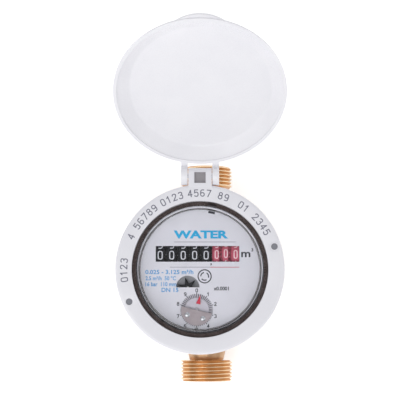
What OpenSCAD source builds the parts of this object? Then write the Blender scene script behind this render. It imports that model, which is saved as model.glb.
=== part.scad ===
// Domestic water meter with a brass body, a dry dial and a hinged lid.
// Millimetres, Z up. The pipe runs along Y and the dial axis is X = 0, Y = 0.

/* [Pipe connections] */
// Length over both threaded ends
body_length = 110; // [106:1:130]
// Major diameter of the pipe thread
thread_d = 26.44; // [25:0.01:28]
// Length of each threaded end
thread_len = 10.5; // [9:0.5:12]
// Bore of both ends
bore_d = 13; // [12:0.5:14]
// Depth of the bore in both ends
bore_depth = 18.5; // [17.5:0.5:19]
// Diameter of the neck behind the thread
neck_d = 17.2; // [16.8:0.2:20]
// Diameter of the neck where it leaves the chamber
neck_root_d = 28; // [26:0.5:30]
// Height of the pipe axis over the base
pipe_z = 17; // [16:0.5:18]
// Sideways offset of the pipe from the dial axis
pipe_x = 3.4; // [2.4:0.2:4.4]

/* [Measuring chamber] */
// Bore of the measuring chamber
chamber_d = 42; // [40:1:44]
// Height of the measuring chamber
chamber_h = 24; // [23:0.5:26]
// Thickness of the body under the chamber
floor_t = 5; // [4.5:0.5:6]
// Wall of the chamber
chamber_wall = 4; // [3.5:0.5:4.5]
// Diameter of the jet and of the outlet channel
jet_d = 8; // [6:0.5:9]
// Bore of the collar that takes the pressure plate
seat_d = 64; // [63:0.25:64.5]
// Wall of the collar
collar_wall = 3.5; // [3:0.25:3.75]
// Thickness of the pressure plate
plate_t = 4; // [3.75:0.25:5]
// Height of the clamp ring
clamp_h = 4; // [3:0.5:5]

/* [Impeller] */
// Diameter over the blades
impeller_d = 36; // [30:1:38]
// Number of blades
blade_count = 7; // [5:1:9]
// Thickness of a blade
blade_t = 1.2; // [0.8:0.1:1.6]
// Diameter of the ring magnet on the impeller
magnet_d = 14.8; // [12:0.2:16]

/* [Register] */
// Outer diameter of the register cup
register_d = 64.8; // [64.4:0.2:66]
// Wall of the register cup
cup_wall = 1.4; // [1.2:0.1:1.5]
// Height of the dial over the collar
register_h = 19; // [18.5:0.5:22]
// Height of the lens over the dial
lens_h = 6.4; // [5.5:0.1:8]
// Thickness of the lens
lens_t = 1.8; // [1.4:0.1:2.2]
// Thickness of the dial plate
dial_t = 0.8; // [0.6:0.1:1]

/* [Gear train] */
// Place of the star arbor across the dial
star_x = -5.95; // [-6.4:0.05:-5.5]
// Place of the star arbor along the dial
star_y = -8.65; // [-9:0.05:-8.3]
// Place of the pointer arbor across the dial
pointer_x = -1.6; // [-2.2:0.01:-1.4]
// Place of the pointer arbor along the dial
pointer_y = -19.65; // [-20.2:0.05:-19.5]
// Place of the transfer arbor across the dial
transfer_x = 10; // [9.5:0.1:10.4]
// Place of the transfer arbor along the dial
transfer_y = -13; // [-13.4:0.1:-12.6]
// Thickness of the large wheels
wheel_t = 1; // [0.8:0.1:1.2]
// Diameter of the pointer disc
pointer_d = 15.2; // [14:0.1:15.6]
// Turn of the pointer at rest, clockwise from the top
pointer_turn = 13.5; // [0:0.5:360]
// Radius of the half-moon window
moon_r = 5.7; // [5:0.1:6]

/* [Number rollers] */
// Diameter of the number rollers
roller_d = 17; // [16:0.2:17.4]
// Spacing of the black rollers
black_pitch = 5.6; // [5.4:0.05:5.65]
// Spacing of the red rollers
red_pitch = 4.5; // [4.3:0.05:4.55]
// Left end of the row of rollers
rollers_left = -22.1; // [-22.3:0.05:-21.9]
// Distance of the roller shaft from the dial axis
roller_y = 7.65; // [7.4:0.05:8]
// Height of the roller window along the dial
window_w = 7.7; // [6:0.1:8.5]

/* [Cover ring] */
// Outer diameter of the cover ring
ring_d = 82; // [81:0.25:86]
// Wall of the cover ring
ring_wall = 1.8; // [1.5:0.1:2.2]
// Thickness of the face of the cover ring
face_t = 3; // [2.8:0.1:4]
// Radius on the outer edge of the face
edge_r = 1.7; // [1:0.1:2.2]
// Diameter of a locking pin
pin_d = 3.1; // [2.8:0.1:3.4]

/* [Lid] */
// Diameter of the lid over its rim
lid_d = 81.4; // [78:0.2:82]
// Depth of the lid inside
lid_depth = 5.2; // [4:0.1:7]
// Radius of the flat inside the lid
lid_flat_r = 33.4; // [28:0.2:34.4]
// Width of the rim edge
rim_w = 1.6; // [1:0.1:1.8]
// How far the lid stands open
lid_open = 135; // [100:1:140]
// Width of the hinge block on the ring
block_w = 11.4; // [10:0.2:14]
// Width of each hinge lug on the lid
lug_w = 3.3; // [2.6:0.1:4]
// Diameter of the hinge pin
hinge_d = 2.4; // [2:0.1:2.6]
// Radius of the finger lip
lip_r = 19; // [12:0.5:24]
// How far the finger lip stands out over the rim
lip_out = 1.5; // [1:0.1:3]

/* [Clearances] */
// Gap between pieces that move past each other
free_gap = 0.3; // [0.25:0.05:0.4]
// Radial gap of a turning fit
run_gap = 0.05; // [0.03:0.01:0.08]
// Radial gap of a fixed fit
set_gap = 0.02; // [0.01:0.01:0.03]
// Radial gap between rings that slide over each other
slip_gap = 0.2; // [0.15:0.05:0.3]

/* [Hidden] */
$fn = 72;
half_len = body_length / 2;
thread_r = thread_d / 2;
bore_r = bore_d / 2;
strainer_len = bore_depth - 2.5;
chamber_r = chamber_d / 2;
cup_out_r = chamber_r + chamber_wall;
seat_r = seat_d / 2;
collar_r = seat_r + collar_wall;
z_seat = floor_t + chamber_h;
z_plate = z_seat + plate_t;
z_collar = z_plate + clamp_h + 1;
clamp_out = seat_r - 0.1;
clamp_in = clamp_out - 3.9;
shield_t = 0.5;
spigot_r = clamp_in - shield_t - 0.2;
z_cup = z_plate + free_gap;
z_floor = z_cup + 1.6;
z_ledge = z_collar + 1.9;
z_dial = z_collar + register_h;
cup_r = register_d / 2;
cup_in = cup_r - cup_wall;
well_r = spigot_r - 1.3;
z_cup_top = z_dial + 0.5;
flange_t = 2;
band_t = 0.38;
band_h = 10.6;
band_lip_t = 0.6;
band_r = cup_r + set_gap + band_t;
hole_r = band_r + slip_gap;
ring_r = ring_d / 2;
z_lens = z_dial + lens_h;
z_ring = z_lens + 0.6;
// The skirt clears the least retaining ring that fits round the collar
hold_wall = 2;
skirt_in = max(ring_r - ring_wall, collar_r + hold_wall + 2 * slip_gap);
hold_out = skirt_in - slip_gap;
outer_r = max(ring_r, skirt_in + ring_wall);
gasket_t = 0.5;
lens_flange_t = 2;
z_band = z_cup_top + gasket_t + lens_flange_t;
lens_r = cup_r - 1.6;
hold_h = 3;
z_hold = z_collar + flange_t;
pin_r = (hole_r + ring_r) / 2 + 0.5;
pin_at = [[pin_r, 204.9], [pin_r, 16.7]];
shank_r = 0.95;

imp_z0 = floor_t + 2.5;
imp_top = z_seat - 2;
magnet_r = magnet_d / 2;
magnet_in = 2.4;
magnet_cup_h = 4;
pivot_r = 0.8;

star = [star_x, star_y];
pointer = [pointer_x, pointer_y];
transfer = [transfer_x, transfer_y];
arbor_r = 0.6;
hub_r = 1.2;
m_star = 2 * norm(star) / (8 + 48);
m_pointer = 2 * norm(pointer - star) / (10 + 40);
m_transfer = 2 * norm(transfer - pointer) / (18 + 36);
m_crown = 0.45;
a_star = atan2(star_y, star_x);
a_pointer = atan2(pointer_y - star_y, pointer_x - star_x);
a_transfer = atan2(transfer_y - pointer_y, transfer_x - pointer_x);
drive_t = 2.8;
z_drive = z_floor + 0.7;
z_star_wheel = z_drive + drive_t + 0.8;
z_pointer_wheel = z_star_wheel + wheel_t + 2.2;
z_crown_pinion = z_pointer_wheel + wheel_t + 0.8;
crown_w = 2;
crown_pitch_r = 8 * m_crown;
z_cross = z_crown_pinion + crown_w / 2 - crown_pitch_r;
z_transfer_wheel = z_crown_pinion + crown_w + 0.6;
z_upper = z_dial - 5;
upper_t = 1.2;
z_star = z_upper + upper_t + 0.8;
disc_z = z_dial + free_gap;
disc_t = 0.6;
socket_h = 0.4;
pointer_pin_r = 0.9;
rivet_at = [pointer_d * 0.258, -pointer_d * 0.214];
half_t = 0.2;
crown_x = transfer_x + 4 * m_crown + 0.55;

roller_r = roller_d / 2;
roller_z = z_dial - 0.4 - roller_r;
shaft_r = 1.2;
m_carry = (roller_r - 1.5) / 10;
carry_a = -35;
carry_y = roller_y + 14 * m_carry * cos(carry_a);
carry_z = roller_z + 14 * m_carry * sin(carry_a);
pinion_shaft_r = 0.9;
rollers_right = rollers_left + 5 * black_pitch + 3 * red_pitch;
window_x = [rollers_left + 0.5, rollers_right - 0.2];
drive_x = rollers_right + 0.5;
drive_w = 1.4;
cheek_l = rollers_left - 0.3;
cheek_r = drive_x + drive_w + 0.4;
cheek_t = 1.1;
cross_at = [transfer_y, z_cross];
roller_at = [roller_y, roller_z];
cross_dist = norm(roller_at - cross_at);
m_drive = 1.039 * cross_dist / 45;
near_leg = 18 * m_drive;
far_leg = 27 * m_drive;
along = (near_leg * near_leg - far_leg * far_leg + cross_dist * cross_dist) / (2 * cross_dist);
aside = sqrt(near_leg * near_leg - along * along);
way = (roller_at - cross_at) / cross_dist;
idler_at = cross_at + along * way + aside * [-way[1], way[0]];
a_idler = atan2(idler_at[1] - cross_at[1], idler_at[0] - cross_at[0]);
a_roller = atan2(roller_at[1] - idler_at[1], roller_at[0] - idler_at[0]);
idler_phase = mesh_phase(0, 12, 24, a_idler);
idler_pin_r = 0.8;
front_posts = [[18.5, -21.5], [-16, -23]];
cheek_y = transfer_y - 3;
bar_y = [roller_y + roller_r + 0.3, roller_y + roller_r + 2.8];

hinge_r = hinge_d / 2;
hinge_y = outer_r + 4.5;
nose_y = hinge_y + 0.8;
hinge_z = z_ring - 3;
knuckle_r = 3;
lug_r = 3.6;
z_lid = z_ring + free_gap;
lid_r = lid_d / 2;
lug_x0 = block_w / 2 + free_gap;
heel_x = lug_x0;
heel_r = hinge_y - sqrt(outer_r * outer_r - heel_x * heel_x) - free_gap;

brass = [0.78, 0.6, 0.36];
white = [0.9, 0.9, 0.92];
steel = [0.7, 0.71, 0.73];
dark = [0.2, 0.2, 0.22];
red = [0.7, 0.15, 0.15];

// Turn of a second wheel that meshes with a first one, seen from the first at the angle a
function mesh_phase(p1, z1, z2, a) = a + 180 - 360 / z2 * (0.5 - (a - p1) * z1 / 360);
function roller_x(k) = k < 6 ? rollers_left + (k - 1) * black_pitch
    : rollers_left + 5 * black_pitch + (k - 6) * red_pitch;
function roller_pitch(k) = k < 6 ? black_pitch : red_pitch;
function turned(p, a) = [p[0] * cos(a) - p[1] * sin(a), p[0] * sin(a) + p[1] * cos(a)];
function tooth(r, m) = [[r - 1.2 * m, -0.95 * m], [r + 0.85 * m, -0.3 * m],
    [r + 0.85 * m, 0.3 * m], [r - 1.2 * m, 0.95 * m]];

module rod(r, z0, z1) {
    translate([0, 0, z0])
        cylinder(r = r, h = z1 - z0);
}

module tube(r_in, r_out, z0, z1) {
    difference() {
        rod(r_out, z0, z1);
        rod(r_in, z0 - 1, z1 + 1);
    }
}

module at(p) {
    translate([p[0], p[1], 0])
        children();
}

// Stands a shape made along Z on the X axis, with its own X along Y and its own Y along Z
module along_x(x = 0, y = 0, z = 0) {
    translate([x, y, z])
        rotate([90, 0, 90])
            children();
}

// Stands a shape made along Z on the pipe axis, pointing to the inlet or the outlet
module along_pipe(inlet = true) {
    translate([pipe_x, 0, pipe_z])
        rotate([inlet ? -90 : 90, 0, 0])
            children();
}

module gear_outline(z, m, phase = 0, step = 1) {
    r = z * m / 2;
    polygon([for (i = [0:step:z - 1]) for (p = tooth(r, m)) turned(p, phase + i * 360 / z)]);
}

module gear(z, m, z0, t, phase = 0) {
    translate([0, 0, z0])
        linear_extrude(t)
            gear_outline(z, m, phase);
}

// Spokes are left standing between round openings in a large wheel
module wheel(z, m, z0, t, phase = 0) {
    r = z * m / 2;
    difference() {
        gear(z, m, z0, t, phase);
        for (i = [0:4])
            rotate([0, 0, phase + i * 72])
                translate([r * 0.56, 0, 0])
                    rod(r * 0.22, z0 - 1, z0 + t + 1);
    }
}

module body_outline() {
    difference() {
        union() {
            polygon([[0, 0], [cup_out_r - 3, 0], [cup_out_r - 3, 3], [cup_out_r, 3],
                [cup_out_r, z_seat - collar_r + cup_out_r], [collar_r, z_seat - collar_r + cup_out_r],
                [collar_r, z_collar], [0, z_collar]]);
            translate([cup_out_r - 3, 3])
                circle(r = 3);
        }
        translate([collar_r, z_seat - collar_r + cup_out_r])
            circle(r = collar_r - cup_out_r);
    }
}

module stub() {
    s0 = half_len - thread_len;
    rotate_extrude()
        polygon([[0, 0], [neck_root_d / 2, 0], [neck_root_d / 2, s0 - (neck_root_d - neck_d) * 2],
            [neck_d / 2, s0], [thread_r - 0.8, s0], [thread_r, s0 + 0.8], [thread_r, half_len - 1],
            [thread_r - 1, half_len], [0, half_len]]);
}

module channel(side) {
    run = [pipe_x + 1 - chamber_r * 0.6, half_len - strainer_len - 9];
    translate([pipe_x + 1, side * (half_len - strainer_len), pipe_z])
        rotate([side * 90, 0, side * atan2(run[0], run[1])])
            cylinder(d = jet_d, h = norm(run));
}

module body() {
    color(brass)
        difference() {
            union() {
                rotate_extrude()
                    body_outline();
                along_pipe(true)
                    stub();
                along_pipe(false)
                    stub();
            }
            rod(chamber_r, floor_t, z_seat + 1);
            rod(seat_r, z_seat, z_collar + 1);
            rod(2 + set_gap, floor_t - 2, floor_t + 1);
            for (inlet = [true, false])
                along_pipe(inlet)
                    rod(bore_r, half_len - bore_depth, half_len + 1);
            channel(1);
            channel(-1);
        }
}

module inlet_strainer() {
    out = bore_r - 0.06;
    color(white)
        along_pipe(true)
            difference() {
                union() {
                    rod(out, half_len - 2.2, half_len - 1);
                    rod(out - 0.6, half_len - strainer_len, half_len - 1.5);
                }
                rod(out - 1.3, half_len - strainer_len + 1, half_len);
                for (a = [0:36:359])
                    rotate([0, 0, a])
                        translate([out - 3, -0.8, half_len - strainer_len + 3])
                            cube([4, 1.6, strainer_len - 7]);
                for (a = [0:60:359])
                    rotate([0, 0, a])
                        translate([out * 0.48, 0, half_len - strainer_len - 1])
                            cylinder(r = 1.1, h = 3);
            }
}

module impeller_pivot() {
    color(steel) {
        rod(2, floor_t - 2, floor_t + 1.6);
        rod(pivot_r, floor_t + 1, imp_z0 + 4.5);
    }
}

module impeller() {
    cup = magnet_r + 1;
    z_cup0 = imp_top - magnet_cup_h;
    color(white)
        difference() {
            union() {
                rod(4, imp_z0, z_cup0);
                rod(cup, z_cup0 - 1, imp_top);
                for (i = [0:blade_count - 1])
                    rotate([0, 0, 10 + i * 360 / blade_count])
                        translate([2, -blade_t / 2, imp_z0 + 1.5])
                            cube([impeller_d / 2 - 2, blade_t, z_cup0 - imp_z0 - 1.5]);
            }
            difference() {
                rod(magnet_r + set_gap, z_cup0, imp_top + 1);
                rod(magnet_in, z_cup0 - 1, imp_top + 2);
            }
            rod(pivot_r + run_gap, imp_z0 - 1, imp_z0 + 4.9);
            rod(1.3 + set_gap, imp_z0 - 1, imp_z0 + 1.5);
            rod(pivot_r + run_gap, imp_top - 2.5, imp_top + 1);
        }
}

module pivot_jewel() {
    color(red)
        tube(pivot_r + run_gap, 1.3, imp_z0, imp_z0 + 1.5);
}

module impeller_magnet() {
    color(dark)
        tube(magnet_in + set_gap, magnet_r, imp_top - magnet_cup_h, imp_top - 0.4);
}

module upper_pivot() {
    color(steel)
        rod(pivot_r, imp_top - 2, z_seat + 1.5);
}

module pressure_plate() {
    groove = [chamber_r + 4.4, chamber_r + 7.4];
    color(white)
        difference() {
            rod(seat_r - 0.1, z_seat, z_plate);
            tube(groove[0], groove[1], z_seat - 1, z_seat + 2);
            rod(pivot_r + set_gap, z_seat - 1, z_seat + 1.5);
            rod(11, z_plate - 1.5, z_plate + 1);
        }
}

module plate_seal() {
    color(dark)
        rotate_extrude()
            translate([chamber_r + 5.9, z_seat + 1])
                circle(r = 0.99);
}

module clamp_ring() {
    color(brass)
        difference() {
            tube(clamp_in, clamp_out, z_plate, z_plate + clamp_h);
            for (a = [0, 90])
                rotate([0, 0, a])
                    translate([-seat_r, -2, z_plate + clamp_h - 1.5])
                        cube([seat_d, 4, 3]);
        }
}

module shield_ring() {
    color(steel)
        tube(spigot_r + 0.1, spigot_r + 0.1 + shield_t, z_plate, z_collar - 0.2);
}

module pivot_boss(p) {
    at(p)
        rod(1.8, z_floor - 0.5, z_floor + 1.2);
}

module register_cup() {
    color([0.55, 0.56, 0.6])
        difference() {
            union() {
                rotate_extrude()
                    polygon([[0, z_cup], [spigot_r, z_cup], [spigot_r, z_collar],
                        [collar_r - 0.2, z_collar], [collar_r - 0.2, z_hold], [cup_r, z_hold],
                        [cup_r, z_cup_top], [cup_in, z_cup_top], [cup_in, z_ledge],
                        [well_r, z_ledge], [well_r, z_floor], [0, z_floor]]);
                pivot_boss(star);
                pivot_boss(pointer);
                pivot_boss(transfer);
                translate([crown_x + 2.6, transfer_y - 2, z_floor - 0.5])
                    cube([1.4, 4, z_cross + 2 - z_floor + 0.5]);
            }
            for (p = [star, pointer, transfer])
                at(p)
                    rod(arbor_r + run_gap, z_floor - 0.3, z_floor + 2);
            rod(arbor_r + set_gap, z_floor - 0.8, z_floor + 1);
            along_x(crown_x, transfer_y, z_cross)
                rod(1 + run_gap, 1, 6);
            along_x(drive_x, transfer_y, z_cross)
                rod(7.6 * m_drive, -0.4, drive_w + 0.4);
            along_x(0, carry_y, carry_z)
                rod(4.85 * m_carry + free_gap, roller_x(2) - 1.4, roller_x(8) + 1);
            along_x(0, roller_y, roller_z)
                rod(roller_r + free_gap, rollers_left, drive_x + drive_w + free_gap);
        }
}

module magnet_pin() {
    color(steel)
        rod(arbor_r, z_floor - 0.8, z_star_wheel + wheel_t + 1);
}

module magnet_arbor() {
    color(white)
        difference() {
            union() {
                rod(3, z_drive - 0.5, z_drive);
                rod(2, z_drive - 0.5, z_drive + drive_t);
                gear(8, m_star, z_drive + drive_t, 2.4, 0);
            }
            rod(arbor_r + run_gap, z_drive - 1, z_drive + drive_t + 4);
        }
}

module drive_magnet() {
    color(dark)
        tube(2 + set_gap, magnet_r - 0.9, z_drive, z_drive + drive_t);
}

module star_arbor() {
    color(white)
        at(star) {
            rod(arbor_r, z_floor + 0.2, z_star + 1);
            rod(hub_r, z_floor + 1.3, z_upper - 0.1);
            wheel(48, m_star, z_star_wheel, wheel_t, mesh_phase(0, 8, 48, a_star));
            gear(10, m_pointer, z_pointer_wheel - 0.4, wheel_t + 0.8, 0);
        }
}

function star_point(i) = i % 2 == 0 ? moon_r - 0.5 : 2.1;

module star_wheel() {
    color(dark)
        at(star)
            difference() {
                translate([0, 0, z_star])
                    linear_extrude(1)
                        polygon([for (i = [0:11]) turned([star_point(i), 0], i * 30 + 45)]);
                rod(arbor_r + set_gap, z_star - 1, z_star + 2);
            }
}

module pointer_arbor() {
    color(white)
        at(pointer) {
            rod(arbor_r, z_floor + 0.2, z_floor + 3);
            rod(hub_r, z_floor + 1.3, z_upper - 0.1);
            rod(pointer_pin_r, z_upper - 0.2, disc_z + socket_h - set_gap);
            wheel(40, m_pointer, z_pointer_wheel, wheel_t, mesh_phase(0, 10, 40, a_pointer));
            gear(18, m_transfer, z_transfer_wheel - 0.2, wheel_t + 0.4, 0);
        }
}

module on_pointer() {
    at(pointer)
        rotate([0, 0, -pointer_turn])
            children();
}

module pointer_disc() {
    color([0.85, 0.88, 0.92, 0.4])
        on_pointer()
            difference() {
                rod(pointer_d / 2, disc_z, disc_z + disc_t);
                rod(pointer_pin_r + set_gap, disc_z - 1, disc_z + socket_h);
                for (s = [-1, 1])
                    translate([s * rivet_at[0], rivet_at[1], 0])
                        rod(0.7 + set_gap, disc_z - 1, disc_z + 2);
            }
}

module half_plate() {
    z0 = disc_z + disc_t;
    color([0.45, 0.42, 0.46])
        on_pointer()
            difference() {
                rod(pointer_d / 2 - 0.1, z0, z0 + half_t);
                translate([-pointer_d, 0, z0 - 1])
                    cube([2 * pointer_d, pointer_d, 3]);
                for (s = [-1, 1])
                    translate([s * rivet_at[0], rivet_at[1], 0])
                        rod(0.7 + set_gap, z0 - 1, z0 + 2);
            }
}

module pointer_rivets() {
    z0 = disc_z + disc_t + half_t;
    color(steel)
        on_pointer()
            for (s = [-1, 1])
                translate([s * rivet_at[0], rivet_at[1], 0]) {
                    rod(0.7, disc_z, z0 + 0.1);
                    translate([0, 0, z0])
                        rotate_extrude()
                            intersection() {
                                translate([0, -1.4])
                                    circle(r = 1.9);
                                square([2, 1]);
                            }
                }
}

module pointer_hand() {
    color(red)
        on_pointer()
            translate([0, 0, disc_z + disc_t])
                linear_extrude(half_t)
                    polygon([[-1.15, 3], [1.15, 3], [0, pointer_d / 2 - 0.2]]);
}

module transfer_arbor() {
    color(white)
        at(transfer) {
            rod(arbor_r, z_floor + 0.2, z_upper + upper_t);
            rod(hub_r, z_floor + 1.3, z_upper - 0.1);
            wheel(36, m_transfer, z_transfer_wheel, wheel_t, mesh_phase(0, 18, 36, a_transfer));
            gear(8, m_crown, z_crown_pinion, crown_w, 22.5);
        }
}

// Crown teeth stand up from the XY plane
module crown_teeth(z, r_in, r_out, h, m) {
    for (i = [0:z - 1])
        rotate([0, 0, i * 360 / z])
            translate([r_in, 0, 0])
                rotate([90, 0, 90])
                    linear_extrude(r_out - r_in)
                        polygon([[-0.55 * m, -0.2], [0.55 * m, -0.2], [0.22 * m, h], [-0.22 * m, h]]);
}

module cross_shaft() {
    color(white) {
        along_x(0, transfer_y, z_cross) {
            rod(1, crown_x + 0.5, cheek_r + cheek_t);
            rod(crown_pitch_r + 0.7, crown_x, crown_x + 1.2);
            gear(12, m_drive, drive_x, drive_w, 0);
        }
        translate([crown_x, transfer_y, z_cross])
            rotate([0, -90, 0])
                crown_teeth(16, crown_pitch_r - 0.6, crown_pitch_r + 0.7, 0.8, m_crown);
    }
}

module idler_pin() {
    color(steel)
        along_x(0, idler_at[0], idler_at[1])
            rod(idler_pin_r, drive_x, cheek_r + cheek_t);
}

module idler_wheel() {
    color(white)
        along_x(0, idler_at[0], idler_at[1])
            difference() {
                wheel(24, m_drive, drive_x, drive_w, idler_phase);
                rod(idler_pin_r + run_gap, drive_x - 1, drive_x + 3);
            }
}

module roller_shaft() {
    color(steel)
        along_x(0, roller_y, roller_z)
            rod(shaft_r, cheek_l - cheek_t, cheek_r + cheek_t);
}

module carry_disc() {
    a = carry_a + 62;
    difference() {
        union() {
            circle(r = 10.3 * m_carry);
            for (s = [-9, 9])
                polygon([for (p = tooth(10 * m_carry, m_carry)) turned(p, a + s)]);
        }
        translate(turned([10.4 * m_carry, 0], a))
            circle(r = 0.7 * m_carry);
    }
}

module number_roller(k) {
    x0 = roller_x(k);
    x1 = x0 + roller_pitch(k);
    band_x0 = k > 1 ? x0 + 0.8 : window_x[0] + slip_gap;
    band_x1 = k < 8 ? x1 - 1.2 : window_x[1] - slip_gap;
    color(k < 6 ? dark : red)
        along_x(0, roller_y, roller_z)
            difference() {
                union() {
                    rod(roller_r, band_x0, band_x1);
                    rod(3, x0 + 0.1, x0 + 1);
                    if (k > 1)
                        translate([0, 0, x0 + 0.1])
                            linear_extrude(0.9)
                                carry_disc();
                    if (k < 8)
                        gear(20, m_carry, x1 - 1.4, 1.2, carry_a - 9);
                    if (k == 8) {
                        rod(3, x1 - 1.5, drive_x + 0.5);
                        gear(30, m_drive, drive_x, drive_w, mesh_phase(idler_phase, 24, 30, a_roller));
                    }
                }
                rod(shaft_r + run_gap, x0 - 1, x1 + 5);
            }
}

module carry_pinion(k) {
    x1 = roller_x(k + 1);
    a = 180 + carry_a;
    color(white)
        along_x(0, carry_y, carry_z)
            difference() {
                union() {
                    gear(8, m_carry, x1 - 1.1, 0.95, a);
                    translate([0, 0, x1 - 1.1])
                        linear_extrude(1.8)
                            gear_outline(8, m_carry, a + 45, 2);
                    rod(2.5 * m_carry, x1 - 1.1, x1 + 0.7);
                }
                rod(pinion_shaft_r + run_gap, x1 - 2, x1 + 2);
            }
}

module roller_1() { number_roller(1); }
module roller_2() { number_roller(2); }
module roller_3() { number_roller(3); }
module roller_4() { number_roller(4); }
module roller_5() { number_roller(5); }
module roller_6() { number_roller(6); }
module roller_7() { number_roller(7); }
module roller_8() { number_roller(8); }
module carry_pinion_1() { carry_pinion(1); }
module carry_pinion_2() { carry_pinion(2); }
module carry_pinion_3() { carry_pinion(3); }
module carry_pinion_4() { carry_pinion(4); }
module carry_pinion_5() { carry_pinion(5); }
module carry_pinion_6() { carry_pinion(6); }
module carry_pinion_7() { carry_pinion(7); }

module pinion_shaft() {
    color(steel)
        along_x(0, carry_y, carry_z)
            rod(pinion_shaft_r, cheek_l - cheek_t, cheek_r + cheek_t);
}

module cheek(x) {
    translate([x, cheek_y, z_ledge])
        cube([cheek_t, bar_y[1] - cheek_y, z_upper - z_ledge]);
}

module roller_frame() {
    color([0.3, 0.31, 0.33])
        difference() {
            union() {
                cheek(cheek_l - cheek_t);
                cheek(cheek_r);
                translate([cheek_l - cheek_t, bar_y[0], z_upper - 2.5])
                    cube([cheek_r - cheek_l + 2 * cheek_t, bar_y[1] - bar_y[0], 2.5]);
                for (x = [-17, 17])
                    at([x, bar_y[0] + 1.25])
                        rod(1.25, z_upper - 1, z_dial - dial_t);
            }
            along_x(0, roller_y, roller_z)
                rod(shaft_r + set_gap, cheek_l - 5, cheek_r + 5);
            along_x(0, carry_y, carry_z)
                rod(pinion_shaft_r + set_gap, cheek_l - 5, cheek_r + 5);
            along_x(0, transfer_y, z_cross)
                rod(1 + run_gap, cheek_r - 1, cheek_r + 5);
            along_x(0, idler_at[0], idler_at[1])
                rod(idler_pin_r + set_gap, cheek_r - 1, cheek_r + 5);
        }
}

module upper_plate() {
    color([0.4, 0.41, 0.43])
        difference() {
            union() {
                translate([0, 0, z_upper])
                    linear_extrude(upper_t)
                        difference() {
                            intersection() {
                                circle(r = cup_in - 1.6);
                                translate([-40, -40])
                                    square([80, 38.2]);
                            }
                            translate([drive_x - 0.5, idler_at[0] - 13.5 * m_drive])
                                square([drive_w + 0.8, 27 * m_drive]);
                        }
                for (p = front_posts)
                    at(p)
                        rod(1.5, z_ledge, z_dial - dial_t);
            }
            at(star)
                rod(arbor_r + run_gap, z_upper - 1, z_upper + 2);
            at(transfer)
                rod(arbor_r + run_gap, z_upper - 1, z_upper + 2);
            at(pointer)
                rod(pointer_pin_r + run_gap, z_upper - 1, z_upper + 2);
        }
}

module dial_plate() {
    color([0.82, 0.82, 0.86])
        translate([0, 0, z_dial - dial_t])
            linear_extrude(dial_t)
                difference() {
                    circle(r = cup_in - 0.7);
                    translate([window_x[0], roller_y - window_w / 2])
                        square([window_x[1] - window_x[0], window_w]);
                    translate(star)
                        intersection() {
                            circle(r = moon_r);
                            translate([-moon_r - 1, 0])
                                square([2 * moon_r + 2, moon_r + 1]);
                        }
                    translate(pointer)
                        circle(r = pointer_pin_r + free_gap);
                }
}

module lens_gasket() {
    color(dark)
        tube(cup_in + 0.05, cup_r - 0.1, z_cup_top, z_cup_top + gasket_t);
}

module lens() {
    z0 = z_cup_top + gasket_t;
    edge = 1.6;
    inner = lens_r - 1.3;
    color([0.8, 0.9, 0.95, 0.4])
        rotate_extrude()
            difference() {
                union() {
                    translate([0, z0])
                        square([cup_r - 0.05, lens_flange_t]);
                    translate([0, z0])
                        square([lens_r, z_lens - edge - z0]);
                    translate([0, z0])
                        square([lens_r - edge, z_lens - z0]);
                    translate([lens_r - edge, z_lens - edge])
                        circle(r = edge);
                }
                translate([-1, z0 - 1])
                    square([inner + 1, z_lens - lens_t - 1 - z0 + 1]);
                translate([-1, z0 - 1])
                    square([inner, z_lens - lens_t - z0 + 1]);
                translate([inner - 1, z_lens - lens_t - 1])
                    circle(r = 1);
            }
}

module register_band() {
    color([0.25, 0.23, 0.25]) {
        tube(cup_r + set_gap, band_r, z_band + band_lip_t - band_h, z_band + band_lip_t);
        tube(lens_r + slip_gap, band_r, z_band, z_band + band_lip_t);
    }
}

module retaining_ring() {
    color([0.75, 0.75, 0.78])
        difference() {
            union() {
                tube(cup_r + free_gap, hold_out, z_hold, z_hold + hold_h);
                tube(collar_r + slip_gap, hold_out, z_seat + 1.5, z_hold + 1);
            }
            for (p = pin_at)
                rotate([0, 0, p[1]])
                    translate([p[0], 0, 0])
                        rod(shank_r + run_gap, z_hold + 0.8, z_hold + hold_h + 1);
        }
}

module ring_outline() {
    translate([hole_r, z_ring - face_t])
        square([outer_r - hole_r, face_t - edge_r]);
    translate([hole_r, z_ring - face_t])
        square([ring_r - hole_r - edge_r, face_t]);
    translate([ring_r - edge_r, z_ring - edge_r])
        circle(r = edge_r);
    translate([skirt_in, z_seat + 4])
        square([ring_wall, z_ring - face_t - z_seat - 3]);
    translate([hole_r, z_hold + hold_h])
        square([1.2, z_ring - face_t - z_hold - hold_h + 1]);
}

module hinge_block() {
    y0 = outer_r - 1.5;
    along_x(-block_w / 2)
        linear_extrude(block_w)
            union() {
                translate([y0, hinge_z - knuckle_r])
                    square([nose_y - y0, 2 * knuckle_r]);
                translate([nose_y, hinge_z])
                    circle(r = knuckle_r);
                polygon([[y0, hinge_z - knuckle_r - 6], [hinge_y - 1, hinge_z - knuckle_r + 0.5],
                    [y0, hinge_z - knuckle_r + 0.5]]);
            }
}

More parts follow.
